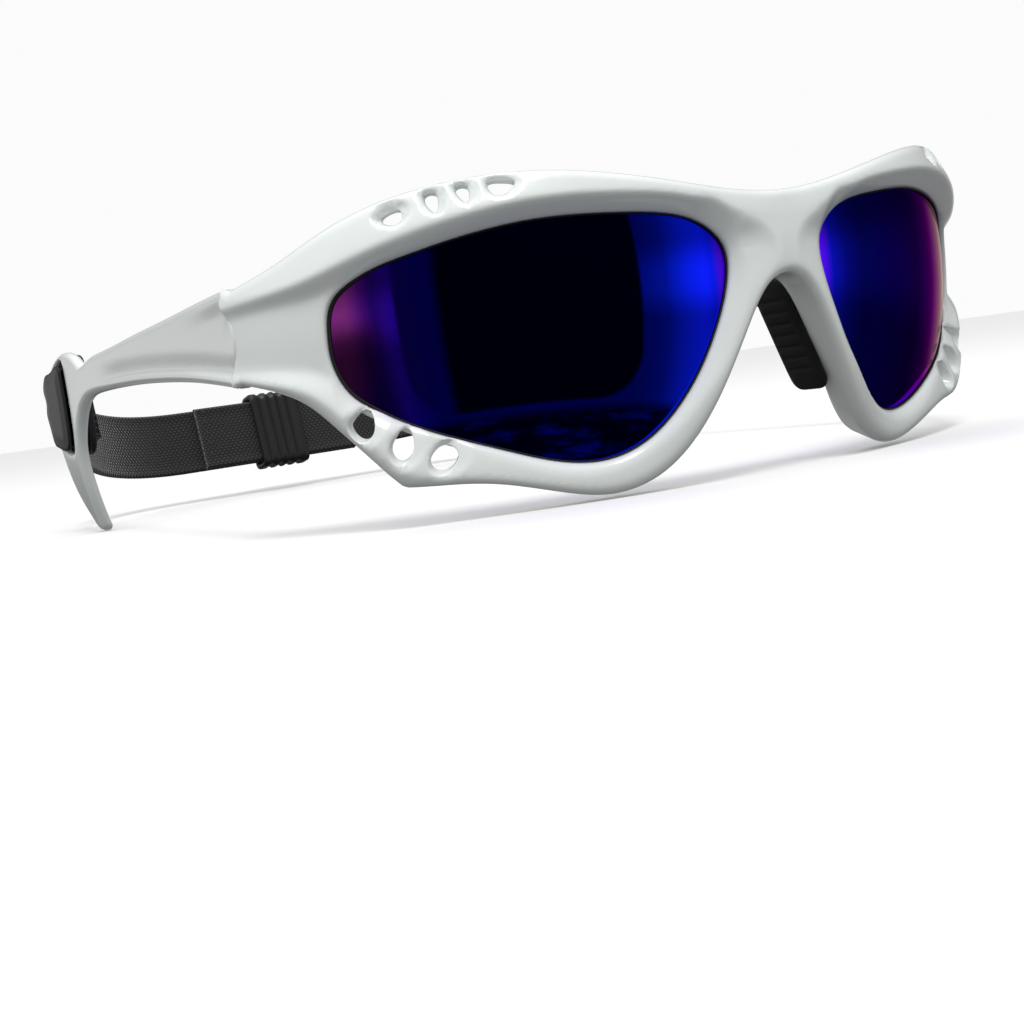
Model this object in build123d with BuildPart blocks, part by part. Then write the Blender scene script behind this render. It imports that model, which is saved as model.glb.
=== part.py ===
"""Wraparound sport sunglasses with a removable head strap, in millimetres.

+X is the wearer's left, +Y runs back from the face towards the ears, +Z is up.
Everything stands on z = 0: the two lens rims and the two temple tips touch it.
"""
import os
from build123d import *

os.makedirs("parts", exist_ok=True)

# ------------------------------------------------------------------ driving dimensions
# Outlines are drawn from a datum: the middle of the brow, on the lens spheres' front.
DATUM_Y = -94.9
DATUM_Z = 30.0

# lenses: each a piece of a spherical shell
LENS_RADIUS = 69.6
LENS_THICKNESS = 2.0
LENS_CENTRE_X = 6.7
LENS_CENTRE_Y = 69.3
LENS_CENTRE_Z = 1.7
GROOVE_DEPTH = 1.2
GROOVE_PLAY = 0.08

# front frame: a shell around the lens spheres, cut to its front view
SHELL_OUT = 3.2
SHELL_IN = 4.0
HALF_WIDTH = 70.6
SEAM_GAP = 0.15
REACH = 60.0

# hinges
HINGE_X = 64.2
HINGE_Y = 38.0
BARREL_RADIUS = 2.1
BARREL_CLEARANCE = 0.3
KNUCKLE_HALF = 2.0
LUG_LOW = 2.2
LUG_HIGH = 5.0
SCREW_RADIUS = 0.8
SCREW_PLAY = 0.05
SCREW_HEAD_RADIUS = 1.45
SCREW_HEAD_HEIGHT = 0.9
SCREW_HEAD_ROUND = 0.3
RECESS_LENGTH = 2.0
RECESS_WIDTH = 0.4
RECESS_DEPTH = 0.5
WEB_LENGTH = 6.0
KNUCKLE_WEB = 3.4

# nose flanges and their rubber pads
FLANGE_DEPTH = 8.5
FLANGE_INNER = 0.1
FLANGE_OUTER = 2.4
PAD_FRONT = 3.6
PAD_DEPTH = 6.8
PAD_BACK = 0.35
PAD_SKIN = 2.5
PAD_ROUND = 0.8

# temples
TEMPLE_CUT = 90.0
BAND_LOW = 14.0
BAND_HEIGHT = 30.0
TIP_FOOT_Y = 139.5
TIP_HALF = 1.5
TIP_FRONT_Y = 130.0
TIP_DEPTH = 20.0

# strap anchors: a plug in the temple's slot and a flange behind it
PLUG_FOOT_X = 61.6
PLUG_DEPTH = 4.1
PLUG_PLAY = 0.15
ANCHOR_FLANGE_X = 61.4
ANCHOR_FLANGE_DEPTH = 1.4
ANCHOR_FLANGE_RIM = 0.9

# head strap
STRAP_WIDTH = 15.0
STRAP_THICKNESS = 1.5
STRAP_START_X = 60.6
STRAP_START_Y = 136.5
STRAIGHT_HALF = 24.0
REAR_INNER = 52.0
STRAP_MID_Z = -4.6
STRAP_SAG_ANGLE = 12.0
LAYER_PITCH = 1.8
OVERLAP_HALF = 20.0
SLIDER_LENGTH = 12.0
SLIDER_WALL = 1.2
SLIDER_PLAY = 0.3

FRONT = Plane((0, DATUM_Y, DATUM_Z), x_dir=(1, 0, 0), z_dir=(0, -1, 0))
SIDE = Plane((0, DATUM_Y, DATUM_Z), x_dir=(0, 1, 0), z_dir=(1, 0, 0))
TOP = Plane((0, DATUM_Y, DATUM_Z))
LENS_CENTRE = (LENS_CENTRE_X, DATUM_Y + LENS_CENTRE_Y, DATUM_Z + LENS_CENTRE_Z)

# ------------------------------------------------------------------ outlines
# The wearer's left half, seen from the front as (x, z) from the datum.
LENS_OUTLINE = [
    (8.4, 1.2), (14.2, 7.8), (24.5, 9.8), (37.0, 10.1), (49.0, 8.2), (57.4, 5.2),
    (60.2, -3.5), (55.2, -13.2), (41.5, -20.9), (28.2, -24.6), (17.3, -18.4), (10.4, -6.4),
]
BROW_LINE = [(0, 10.3), (9, 11.2), (22, 14.0), (35, 16.4), (45, 16.9), (54, 15.8), (61, 12.9), (72, 6.2)]
CHEEK_LINE = [(72, -6.4), (66, -10.1), (61, -15.6), (54, -24.4)]
RIM_LINE = [(54, -24.4), (44, -25.8), (35.5, -28.5), (27, -30.4), (19, -27.3), (12.4, -19.1), (7.4, -9.5), (3.4, -3.2)]
ARCH_TOP = (0, -1.7)
NOSE_LINE = [(3.4, -4.2), (8.2, -11.4), (12.6, -19.4)]

# The same half seen from its side, as (y, z) from the datum.
SEAM_LINE = [(37.4, 10.0), (38.4, 5.2), (36.3, 0.5), (38.6, -6.0), (37.4, -10.0)]
TEMPLE_TOP = [(30, 7.5), (52, 6.4), (86, 5.1), (114.5, 3.6), (122.6, 2.3)]
LOOP_REAR = [(122.6, 2.3), (127, 4.2), (132, 5.4), (140, 4.6), (146.2, 0.8), (148, -4), (146, -9.4), (143.8, -14)]
TIP_REAR = [(143.8, -14), (144.2, -22), (TIP_FOOT_Y + TIP_HALF, -DATUM_Z)]
TIP_FRONT = [(TIP_FOOT_Y - TIP_HALF, -DATUM_Z), (134.6, -24), (132, -15)]
TEMPLE_UNDER = [(30, -8.0), (46, -6.2), (60, -4.9), (80, -3.7), (103, -3.5), (118, -4.9), (127, -9), (132, -15)]
SLOT_LINE = [(134.4, 3.6), (139.7, 3.0), (143.9, -0.2), (145.7, -4.2), (144.0, -9.0), (140.4, -12.6), (135.0, -13.2)]

# The temple from above, as (x, y) from the datum: its outer and inner faces.
TEMPLE_OUTER = [(70.6, 38), (69.6, 52), (68.0, 85), (66.4, 122), (65.4, 150)]
TEMPLE_INNER = [(66.6, 38), (66.3, 52), (65.3, 85), (63.9, 122), (63.0, 150)]

# The temple's tip from the front, as (x, z) from the datum: it bends inwards on its way down.
TIP_BEND_OUTER = [(65.8, -12), (65.3, -16), (63.4, -23), (61.0, -31)]
TIP_BEND_INNER = [(63.2, -12), (62.4, -16), (60.8, -23), (58.6, -31)]


def shifted(points, dx, dy=0.0):
    return [(x + dx, y + dy) for x, y in points]


def grown(points, distance):
    """Points of a closed clockwise outline, each moved outwards by distance."""
    moved = []
    for i, (x, y) in enumerate(points):
        before = Vector(*points[i - 1])
        after = Vector(*points[(i + 1) % len(points)])
        along = (after - before).normalized()
        moved.append((x - along.Y * distance, y + along.X * distance))
    return moved


def lens_shell(outer, inner):
    """Hollow ball around the left lens's centre."""
    with BuildPart() as ball:
        with Locations(LENS_CENTRE):
            Sphere(outer)
            Sphere(inner, mode=Mode.SUBTRACT)
    return ball.part


def half_outline():
    """The wearer's left half of the frame's front view, as a prism along Y."""
    with BuildPart() as prism:
        with BuildSketch(FRONT):
            with BuildLine():
                Spline(*BROW_LINE, tangents=[(1, 0), (0.85, -0.53)])
                Line(BROW_LINE[-1], CHEEK_LINE[0])
                Spline(*CHEEK_LINE)
                Spline(*RIM_LINE, ARCH_TOP, tangents=[(-1, -0.06), (-1, 0)])
                Line(ARCH_TOP, BROW_LINE[0])
            make_face()
        extrude(amount=REACH, both=True)
    return prism.part


def lens_outline(grow):
    """The left lens opening, moved outwards by grow, as a prism along Y."""
    with BuildPart() as prism:
        with BuildSketch(FRONT):
            with BuildLine():
                Spline(*grown(LENS_OUTLINE, grow), periodic=True)
            make_face()
        extrude(amount=REACH, both=True)
    return prism.part


def behind_seam(gap):
    """Everything behind the S-shaped seam of the left temple, gap further back."""
    seam = shifted(SEAM_LINE, gap)
    with BuildPart() as block:
        with BuildSketch(SIDE):
            with BuildLine():
                Spline(*seam)
                Polyline(seam[-1], (seam[-1][0], -40), (200, -40), (200, 40), (seam[0][0], 40), seam[0])
            make_face()
        extrude(amount=100)
    return block.part


# ------------------------------------------------------------------ vents
# Four brow vents, (x, z, width, height, lean), and three cheek vents.
BROW_VENTS = [(53.4, 12.5, 3.4, 2.6, 35), (49.0, 13.3, 2.2, 3.0, 12), (45.0, 13.7, 2.2, 3.0, 5), (40.4, 13.9, 3.6, 2.8, 0)]
CHEEK_VENTS = [(57.4, -15.2, 2.6, 3.4, 35), (53.2, -18.6, 2.6, 3.8, 25), (48.4, -21.4, 3.0, 3.2, 60)]


def vent_cutter():
    """All the vents of the left half, as straight slots along Y."""
    with BuildPart() as cutter:
        with BuildSketch(FRONT):
            for x, z, width, height, lean in BROW_VENTS + CHEEK_VENTS:
                with Locations(Location((x, z, 0), (0, 0, lean))):
                    Ellipse(width / 2, height / 2)
        extrude(amount=REACH, both=True)
    return cutter.part


# ------------------------------------------------------------------ front frame
def hinge_lugs():
    """The two frame barrels of the left hinge, with the webs that carry them."""
    with BuildPart() as lugs:
        for low in (-LUG_HIGH, LUG_LOW):
            with BuildSketch(TOP.offset(low)):
                with Locations((HINGE_X, HINGE_Y)):
                    Circle(BARREL_RADIUS)
                with Locations((HINGE_X, HINGE_Y - WEB_LENGTH / 2)):
                    Rectangle(2 * BARREL_RADIUS, WEB_LENGTH)
            extrude(amount=LUG_HIGH - LUG_LOW)
    return lugs.part


def nose_flange():
    """The wall behind the left nose rim that backs the rubber pad."""
    inner = shifted(NOSE_LINE, FLANGE_INNER)
    outer = shifted(NOSE_LINE, FLANGE_OUTER)
    with BuildPart() as flange:
        with BuildSketch(FRONT):
            with BuildLine():
                Spline(*inner)
                Line(inner[-1], outer[-1])
                Spline(*reversed(outer))
                Line(outer[0], inner[0])
            make_face()
        extrude(amount=-FLANGE_DEPTH)
    return flange.part


frame_outline = half_outline()
frame_shell = lens_shell(LENS_RADIUS + SHELL_OUT, LENS_RADIUS - SHELL_IN)
frame_flange = nose_flange()
frame_lugs = hinge_lugs()
frame_vents = vent_cutter()
lens_opening = lens_outline(0)
past_seam = behind_seam(-SEAM_GAP)
groove_outline = lens_outline(GROOVE_DEPTH)
groove_shell = lens_shell(LENS_RADIUS + GROOVE_PLAY, LENS_RADIUS - LENS_THICKNESS - GROOVE_PLAY)

with BuildPart() as groove:
    add(groove_outline)
    add(groove_shell, mode=Mode.INTERSECT)

with BuildPart() as front_half:
    add(frame_outline)
    add(frame_shell, mode=Mode.INTERSECT)
    with Locations((HALF_WIDTH / 2, DATUM_Y + REACH / 2, DATUM_Z)):
        Box(HALF_WIDTH, 2 * REACH, 2 * DATUM_Z, mode=Mode.INTERSECT)
    add(frame_flange)
    add(past_seam, mode=Mode.SUBTRACT)
    add(lens_opening, mode=Mode.SUBTRACT)
    add(groove.part, mode=Mode.SUBTRACT)
    with BuildSketch(TOP.offset(-LUG_LOW)):
        with Locations((HINGE_X, HINGE_Y)):
            Circle(BARREL_RADIUS + BARREL_CLEARANCE)
    extrude(amount=2 * LUG_LOW, mode=Mode.SUBTRACT)
    with BuildSketch(TOP.offset(LUG_HIGH)):
        with Locations((HINGE_X, HINGE_Y)):
            Circle(SCREW_HEAD_RADIUS + BARREL_CLEARANCE)
    extrude(amount=2 * LUG_HIGH, mode=Mode.SUBTRACT)
    add(frame_lugs)
    with BuildSketch(TOP.offset(-LUG_HIGH)):
        with Locations((HINGE_X, HINGE_Y)):
            Circle(SCREW_RADIUS)
    extrude(amount=2 * LUG_HIGH, mode=Mode.SUBTRACT)
    add(frame_vents, mode=Mode.SUBTRACT)

with BuildPart() as front_frame:
    add(front_half.part)
    mirror(about=Plane.YZ)

# ------------------------------------------------------------------ lenses
lens_body = lens_outline(GROOVE_DEPTH - GROOVE_PLAY)
lens_wall = lens_shell(LENS_RADIUS, LENS_RADIUS - LENS_THICKNESS)

with BuildPart() as lens_left:
    add(lens_body)
    add(lens_wall, mode=Mode.INTERSECT)

# ------------------------------------------------------------------ nose pads
with BuildPart() as nose_pad_left:
    pad_back = shifted(NOSE_LINE, -PAD_BACK)
    pad_skin = shifted(NOSE_LINE, -PAD_SKIN)
    with BuildSketch(FRONT.offset(-PAD_FRONT)):
        with BuildLine():
            Spline(*pad_back)
            Line(pad_back[-1], pad_skin[-1])
            Spline(*reversed(pad_skin))
            Line(pad_skin[0], pad_back[0])
        make_face()
    extrude(amount=-PAD_DEPTH)
    fillet(nose_pad_left.edges().filter_by(Axis.Y), radius=PAD_ROUND)

# ------------------------------------------------------------------ temples
with BuildPart() as temple_outline:
    with BuildSketch(SIDE):
        with BuildLine():
            Spline(*TEMPLE_TOP)
            Spline(*LOOP_REAR)
            Spline(*TIP_REAR)
            Line(TIP_REAR[-1], TIP_FRONT[0])
            Spline(*TIP_FRONT)
            Spline(*reversed(TEMPLE_UNDER))
            Line(TEMPLE_UNDER[0], TEMPLE_TOP[0])
        make_face()
        with BuildLine():
            Spline(*SLOT_LINE)
            Line(SLOT_LINE[-1], SLOT_LINE[0])
        make_face(mode=Mode.SUBTRACT)
    extrude(amount=TEMPLE_CUT)

with BuildPart() as temple_band:
    with BuildSketch(TOP.offset(-BAND_LOW)):
        with BuildLine():
            Spline(*TEMPLE_OUTER)
            Line(TEMPLE_OUTER[-1], TEMPLE_INNER[-1])
            Spline(*reversed(TEMPLE_INNER))
            Polyline(TEMPLE_INNER[0], (66.6, 30), (70.6, 30), TEMPLE_OUTER[0])
        make_face()
    extrude(amount=BAND_HEIGHT)
    with BuildSketch(FRONT.offset(-TIP_FRONT_Y)):
        with BuildLine():
            Spline(*TIP_BEND_OUTER, tangents=[(0, -1), (-0.3, -1)])
            Line(TIP_BEND_OUTER[-1], TIP_BEND_INNER[-1])
            Spline(*reversed(TIP_BEND_INNER), tangents=[(0.3, 1), (0, 1)])
            Line(TIP_BEND_INNER[0], TIP_BEND_OUTER[0])
        make_face()
    extrude(amount=-TIP_DEPTH)

temple_side = behind_seam(SEAM_GAP)

with BuildPart() as temple_left:
    add(temple_outline.part)
    add(temple_band.part, mode=Mode.INTERSECT)
    with BuildSketch(TOP.offset(-KNUCKLE_HALF)):
        with Locations((HINGE_X + KNUCKLE_WEB / 2, HINGE_Y)):
            Rectangle(KNUCKLE_WEB, 2 * BARREL_RADIUS)
    extrude(amount=2 * KNUCKLE_HALF)
    add(temple_side, mode=Mode.INTERSECT)
    with BuildSketch(TOP.offset(-KNUCKLE_HALF)):
        with Locations((HINGE_X, HINGE_Y)):
            Circle(BARREL_RADIUS)
    extrude(amount=2 * KNUCKLE_HALF)
    with BuildSketch(TOP.offset(-LUG_HIGH)):
        with Locations((HINGE_X, HINGE_Y)):
            Circle(SCREW_RADIUS + SCREW_PLAY)
    extrude(amount=2 * LUG_HIGH, mode=Mode.SUBTRACT)

# ------------------------------------------------------------------ hinge screws
with BuildPart() as hinge_screw_left:
    with BuildSketch(TOP.offset(-LUG_HIGH)):
        with Locations((HINGE_X, HINGE_Y)):
            Circle(SCREW_RADIUS)
    extrude(amount=2 * LUG_HIGH)
    with BuildSketch(TOP.offset(LUG_HIGH)):
        with Locations((HINGE_X, HINGE_Y)):
            Circle(SCREW_HEAD_RADIUS)
    extrude(amount=SCREW_HEAD_HEIGHT)
    fillet(hinge_screw_left.edges().sort_by(Axis.Z)[-1], radius=SCREW_HEAD_ROUND)
    with BuildSketch(TOP.offset(LUG_HIGH + SCREW_HEAD_HEIGHT)):
        with Locations((HINGE_X, HINGE_Y)):
            Rectangle(RECESS_LENGTH, RECESS_WIDTH)
            Rectangle(RECESS_WIDTH, RECESS_LENGTH)
    extrude(amount=-RECESS_DEPTH, mode=Mode.SUBTRACT)

# ------------------------------------------------------------------ strap anchors
def slot_block(start, depth, grow):
    """Block with the strap slot's outline, moved outwards by grow."""
    line = grown(SLOT_LINE, grow)
    with BuildPart() as block:
        with BuildSketch(SIDE.offset(start)):
            with BuildLine():
                Spline(*line)
                Line(line[-1], line[0])
            make_face()
        extrude(amount=depth)
    return block.part


anchor_plug = slot_block(PLUG_FOOT_X, PLUG_DEPTH, -PLUG_PLAY)
anchor_flange = slot_block(ANCHOR_FLANGE_X, ANCHOR_FLANGE_DEPTH, ANCHOR_FLANGE_RIM)

with BuildPart() as strap_anchor_left:
    add(anchor_plug)
    add(anchor_flange)


# ------------------------------------------------------------------ head strap
STRAP = Plane((0, DATUM_Y + STRAP_START_Y, DATUM_Z + STRAP_MID_Z)).rotated((-STRAP_SAG_ANGLE, 0, 0))


def strap_half(side, rear):
    """One webbing half; side is +1 for the wearer's left, rear its distance back."""
    with BuildPart() as band:
        with BuildSketch(STRAP.offset(-STRAP_WIDTH / 2)):
            with BuildLine():
                first_angle = 0 if side > 0 else 90
                EllipticalCenterArc(
                    (side * STRAIGHT_HALF, 0), STRAP_START_X - STRAIGHT_HALF, rear,
                    start_angle=first_angle, arc_size=90,
                )
                Line((side * STRAIGHT_HALF, rear), (-side * OVERLAP_HALF, rear))
            trace(line_width=STRAP_THICKNESS)
        extrude(amount=STRAP_WIDTH)
    return band.part


REAR_OUTER = REAR_INNER + LAYER_PITCH
strap_left_part = strap_half(1, REAR_INNER)
strap_right_part = strap_half(-1, REAR_OUTER)

with BuildPart() as strap_slider:
    hole_depth = LAYER_PITCH + STRAP_THICKNESS + 2 * SLIDER_PLAY
    hole_width = STRAP_WIDTH + 2 * SLIDER_PLAY
    with BuildSketch(STRAP.offset(-hole_width / 2 - SLIDER_WALL)):
        with Locations((0, (REAR_INNER + REAR_OUTER) / 2)):
            RectangleRounded(SLIDER_LENGTH, hole_depth + 2 * SLIDER_WALL, 1.0)
    extrude(amount=hole_width + 2 * SLIDER_WALL)
    with BuildSketch(STRAP.offset(-hole_width / 2)):
        with Locations((0, (REAR_INNER + REAR_OUTER) / 2)):
            Rectangle(SLIDER_LENGTH + 2, hole_depth)
    extrude(amount=hole_width, mode=Mode.SUBTRACT)


# ------------------------------------------------------------------ export
def save(part, label):
    part.label = label
    export_step(part, f"parts/{label}.step")


def save_pair(part, name):
    save(part, f"{name}_left")
    save(part.mirror(Plane.YZ), f"{name}_right")


save(front_frame.part, "front_frame")
save_pair(lens_left.part, "lens")
save_pair(nose_pad_left.part, "nose_pad")
save_pair(temple_left.part, "temple")
save_pair(hinge_screw_left.part, "hinge_screw")
save_pair(strap_anchor_left.part, "strap_anchor")
save(strap_left_part, "strap_left")
save(strap_right_part, "strap_right")
save(strap_slider.part, "strap_slider")
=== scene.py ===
import math
from functools import partial
import bpy
import numpy as np
from mathutils import Matrix, Vector
from mathutils.geometry import delaunay_2d_cdt


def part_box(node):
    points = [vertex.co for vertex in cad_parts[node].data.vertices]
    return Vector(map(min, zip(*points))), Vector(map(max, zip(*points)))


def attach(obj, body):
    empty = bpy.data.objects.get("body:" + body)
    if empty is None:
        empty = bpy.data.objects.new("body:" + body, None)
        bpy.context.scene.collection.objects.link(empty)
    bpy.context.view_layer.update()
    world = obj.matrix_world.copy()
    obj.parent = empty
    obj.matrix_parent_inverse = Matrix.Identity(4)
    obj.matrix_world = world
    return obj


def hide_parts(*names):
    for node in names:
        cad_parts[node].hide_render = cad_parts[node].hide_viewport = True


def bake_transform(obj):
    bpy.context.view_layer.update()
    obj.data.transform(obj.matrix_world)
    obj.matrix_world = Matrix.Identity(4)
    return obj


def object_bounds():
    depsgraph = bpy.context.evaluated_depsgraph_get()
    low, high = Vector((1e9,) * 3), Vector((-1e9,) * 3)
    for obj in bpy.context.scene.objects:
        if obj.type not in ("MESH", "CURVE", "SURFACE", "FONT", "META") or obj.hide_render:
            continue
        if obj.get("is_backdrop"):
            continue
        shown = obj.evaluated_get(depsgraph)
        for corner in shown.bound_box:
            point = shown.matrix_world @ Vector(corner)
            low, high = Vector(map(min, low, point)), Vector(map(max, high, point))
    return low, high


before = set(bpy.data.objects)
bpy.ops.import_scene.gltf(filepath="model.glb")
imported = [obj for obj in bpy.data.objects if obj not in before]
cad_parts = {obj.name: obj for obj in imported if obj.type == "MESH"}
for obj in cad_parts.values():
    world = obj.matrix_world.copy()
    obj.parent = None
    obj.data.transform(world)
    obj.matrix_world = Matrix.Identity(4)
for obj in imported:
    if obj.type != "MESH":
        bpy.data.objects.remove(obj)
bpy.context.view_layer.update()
MM = 0.001

# Shapes are drawn in millimetres from the part's datum, which is found from the left hinge screw.
HINGE_X, HINGE_Y, SCREW_FOOT_Z = 64.2, 38.0, -5.0
SCREW_LOW, SCREW_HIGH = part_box("hinge_screw_left")
DATUM = np.array([0.0, (SCREW_LOW.y + SCREW_HIGH.y) / 2 / MM - HINGE_Y, SCREW_LOW.z / MM - SCREW_FOOT_Z])

LENS_RADIUS, LENS_THICKNESS = 69.6, 2.0
LENS_CENTRE = np.array([6.7, 69.3, 1.7])


# ---- camera
CAMERA_SPOT = (-160.7, -185.8, -11.0)
CAMERA_TURN, CAMERA_PITCH, CAMERA_ROLL = math.radians(-30.91), math.radians(4.64), math.radians(-8.0)
CAMERA_LENS = 57.97


def in_scene(name, data):
    made = bpy.data.objects.new(name, data)
    bpy.context.scene.collection.objects.link(made)
    return made


def make_camera():
    """A camera turned about Z, pitched, then rolled about its own line of sight."""
    aim = Matrix.Rotation(CAMERA_TURN, 3, "Z") @ Matrix.Rotation(math.pi / 2 - CAMERA_PITCH, 3, "X")
    data = bpy.data.cameras.new("camera")
    data.lens = CAMERA_LENS
    data.sensor_width = 36
    data.clip_start = 0.005
    data.clip_end = 50
    camera = in_scene("camera", data)
    camera.matrix_world = (aim @ Matrix.Rotation(CAMERA_ROLL, 3, "Z")).to_4x4()
    camera.location = Vector((DATUM + np.array(CAMERA_SPOT)) * MM)
    bpy.context.scene.camera = camera


make_camera()


# ---- curves
def unit(rows):
    return rows / np.linalg.norm(rows, axis=1)[:, None]


def run_of(line):
    """The length along the line at each of its points."""
    return np.concatenate([[0], np.cumsum(np.linalg.norm(np.diff(line[:, :2], axis=0), axis=1))])


def read(at, run, rows):
    """Rows that belong to a run, read at other places along it."""
    return np.column_stack([np.interp(at, run, column) for column in rows.T])


def flat(height):
    """A flat face at that height."""
    return lambda q: np.full(len(q), height)


def spline(points, step, closed=False, ends=(None, None)):
    """Points a step apart along a smooth curve through the given ones; extra columns run along with it."""
    p = np.array(points, float)
    if closed:
        p = np.vstack([p, p[:1]])
    n = len(p)
    h = np.linalg.norm(np.diff(p[:, :2], axis=0), axis=1) ** 0.7
    d = np.diff(p, axis=0) / h[:, None]
    a = np.zeros((n, n))
    b = np.zeros_like(p)
    for i in range(1, n - 1):
        a[i, i - 1:i + 2] = h[i], 2 * (h[i - 1] + h[i]), h[i - 1]
        b[i] = 3 * (h[i] * d[i - 1] + h[i - 1] * d[i])
    if closed:
        a[0, 0], a[0, -1] = 1, -1
        a[-1, -2], a[-1, -1], a[-1, 1] = h[0], 2 * (h[-1] + h[0]), h[-1]
        b[-1] = 3 * (h[0] * d[-1] + h[-1] * d[0])
    else:
        for row, near, way, chord in ((0, 1, ends[0], d[0]), (-1, -2, ends[1], d[-1])):
            a[row, row] = 2
            a[row, near] = 1
            b[row] = 3 * chord
            if way is not None:
                a[row, near] = 0
                b[row] = 2 * np.linalg.norm(chord[:2]) * np.array(way, float)
    m = np.linalg.solve(a, b)
    t = np.linspace(0, 1, 30, endpoint=False)[:, None]
    fine = np.vstack([
        (2 * t ** 3 - 3 * t ** 2 + 1) * p[i] + (t ** 3 - 2 * t ** 2 + t) * h[i] * m[i]
        + (3 * t ** 2 - 2 * t ** 3) * p[i + 1] + (t ** 3 - t ** 2) * h[i] * m[i + 1]
        for i in range(n - 1)
    ] + [p[-1:]])
    run = run_of(fine)
    out = read(np.linspace(0, run[-1], max(2, int(round(run[-1] / step))) + 1), run, fine)
    return out[:-1] if closed else out


def nearest(q, line, closed=False):
    """For each point: its distance to the line, its side (+1 on the left), the line's extra columns there."""
    a = line if closed else line[:-1]
    b = np.roll(line, -1, 0) if closed else line[1:]
    ab = (b - a)[:, :2]
    size = (ab ** 2).sum(1)
    gap, side = np.empty(len(q)), np.empty(len(q))
    extra = np.empty((len(q), line.shape[1] - 2))
    for s in range(0, len(q), 1500):
        ap = q[s:s + 1500, None] - a[None, :, :2]
        t = np.clip((ap * ab).sum(2) / size, 0, 1)
        off = ap - t[..., None] * ab
        k = (off ** 2).sum(2).argmin(1)
        r = np.arange(len(k))
        tk = t[r, k][:, None]
        gap[s:s + 1500] = np.linalg.norm(off[r, k], axis=1)
        side[s:s + 1500] = np.where(ab[k, 0] * ap[r, k, 1] - ab[k, 1] * ap[r, k, 0] >= 0, 1, -1)
        extra[s:s + 1500] = a[k, 2:] * (1 - tk) + b[k, 2:] * tk
    return gap, side, extra


def inside(q, line):
    """Whether each point is inside the closed line."""
    a, b = line[:, :2], np.roll(line, -1, 0)[:, :2]
    odd = np.zeros(len(q), bool)
    for (ax, ay), (bx, by) in zip(a, b):
        if ay != by:
            spans = (ay > q[:, 1]) != (by > q[:, 1])
            odd ^= spans & (q[:, 0] < ax + (q[:, 1] - ay) * (bx - ax) / (by - ay))
    return odd


def left_of(line, closed=True):
    """Unit directions square to the line, on its left."""
    along = np.roll(line, -1, 0) - np.roll(line, 1, 0)
    if not closed:
        along[0], along[-1] = line[1] - line[0], line[-1] - line[-2]
    return unit(np.column_stack([-along[:, 1], along[:, 0]]))


def step(x, low, high):
    """0 below low, 1 above high, smooth between."""
    t = np.clip((x - low) / (high - low), 0, 1)
    return t * t * (3 - 2 * t)


def smax(a, b, soft):
    return (a + b + np.sqrt((a - b) ** 2 + soft ** 2)) / 2


def smin(a, b, soft):
    return -smax(-a, -b, soft)


def ridge(q, line):
    """Height of a rounded ridge; its line carries (height, slope on the left and on the right, softness)."""
    gap, side, extra = nearest(q, line)
    height, left, right, soft = extra.T
    return height - np.where(side > 0, left, right) * (np.sqrt(gap ** 2 + soft ** 2) - soft)


# ---- meshes
def mesh_object(name, points, faces):
    """Smooth-shaded object from points in millimetres from the datum."""
    mesh = bpy.data.meshes.new(name)
    mesh.from_pydata(((points + DATUM) * MM).tolist(), [], faces)
    mesh.polygons.foreach_set("use_smooth", [True] * len(mesh.polygons))
    mesh.update()
    return in_scene(name, mesh)


# Rows of points round an edge, as angles; steps down the wall of an edge; a length too small to matter.
ROUNDING = [22.5, 45.0, 67.5, 90.0]
WALL_STEPS = [0.2, 0.4, 0.6, 0.8]
TINY = 1e-6


def reached(tris, bars, seed):
    """The triangles reached from the seed one without crossing a bar."""
    sides = [[tuple(sorted(pair)) for pair in ((a, b), (b, c), (c, a))] for a, b, c in tris]
    beside = {}
    for k, own in enumerate(sides):
        for pair in own:
            beside.setdefault(pair, []).append(k)
    found, open_ends = {seed}, [seed]
    while open_ends:
        for pair in sides[open_ends.pop()]:
            if pair not in bars:
                fresh = [k for k in beside[pair] if k not in found]
                found.update(fresh)
                open_ends += fresh
    return sorted(found)


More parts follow.
